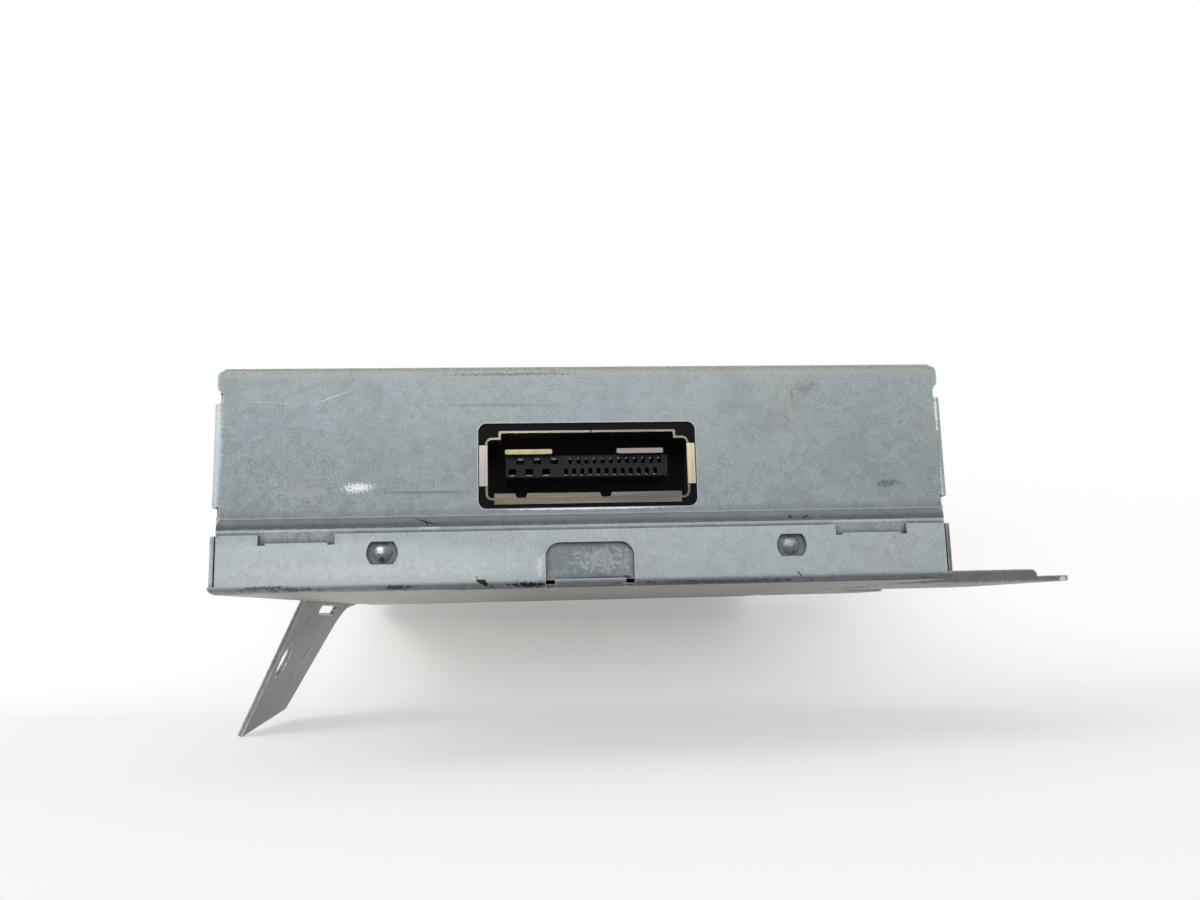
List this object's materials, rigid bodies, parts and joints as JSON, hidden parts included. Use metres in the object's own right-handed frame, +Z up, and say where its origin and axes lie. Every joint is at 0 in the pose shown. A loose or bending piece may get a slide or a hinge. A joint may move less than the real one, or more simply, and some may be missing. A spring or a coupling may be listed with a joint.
{
  "type": "car head unit",
  "caption": "Sheet-steel car head unit box with a shielded docking socket, a clip-held bottom cover, one bracket bent down and one flat bracket.",
  "frame": {"origin": "middle of the underside of the bottom cover", "axes": "+Z up through the case, -Y out of the docking socket end, +X towards the flat bracket"},
  "size_m": [0.2557, 0.2462, 0.0972],
  "materials": {
    "case_steel": "zinc coated, fine spangle, lightly scuffed",
    "cover_steel": "zinc coated, smoother than the case",
    "bracket_steel": "zinc coated, dull",
    "screw_steel": "zinc plated",
    "socket_plastic": "moulded, fine grain",
    "block_plastic": "moulded, glass filled",
    "shield_plate": "nickel plated sheet",
    "spring_plate": "nickel and gold flash",
    "contact_gold": "gold plated",
    "board_laminate": "green solder mask",
    "cap_sleeve": "shrink sleeve",
    "ferrite": "bare core",
    "winding_copper": "enamelled wire",
    "chip_plastic": "moulded",
    "crystal_can": "bright can",
    "holder_plastic": "moulded",
    "fuse_plastic": "tinted",
    "can_tinplate": "tin plate",
    "aerial_metal": "nickel plated",
    "sink_aluminium": "extruded",
    "clamp_steel": "spring steel"
  },
  "bodies": {
    "root": {"upper_case": "case_steel", "bottom_cover": "cover_steel", "left_bracket": "bracket_steel", "right_bracket": "bracket_steel", "socket_body": "socket_plastic", "socket_shield": "shield_plate", "shield_spring_clips": "spring_plate", "key_bars": "spring_plate", "contact_block": "block_plastic", "power_contacts": "contact_gold", "signal_contacts": "contact_gold", "main_board": "board_laminate", "filter_capacitors": "cap_sleeve", "small_capacitors": "cap_sleeve", "choke_core": "ferrite", "choke_winding": "winding_copper", "main_processor": "chip_plastic", "sound_processor": "chip_plastic", "memory_chip": "chip_plastic", "crystal": "crystal_can", "voltage_regulator": "chip_plastic", "fuse_holder": "holder_plastic", "blade_fuse": "fuse_plastic", "diodes": "chip_plastic", "tuner_can": "can_tinplate", "aerial_socket": "aerial_metal", "aerial_contact": "contact_gold", "heat_sink": "sink_aluminium", "power_amplifier": "chip_plastic", "clamp_spring": "clamp_steel", "bracket_screws": "screw_steel", "cover_screws": "screw_steel", "board_screws": "screw_steel", "heat_sink_screws": "screw_steel", "clamp_screws": "screw_steel"}
  },
  "joints": []
}
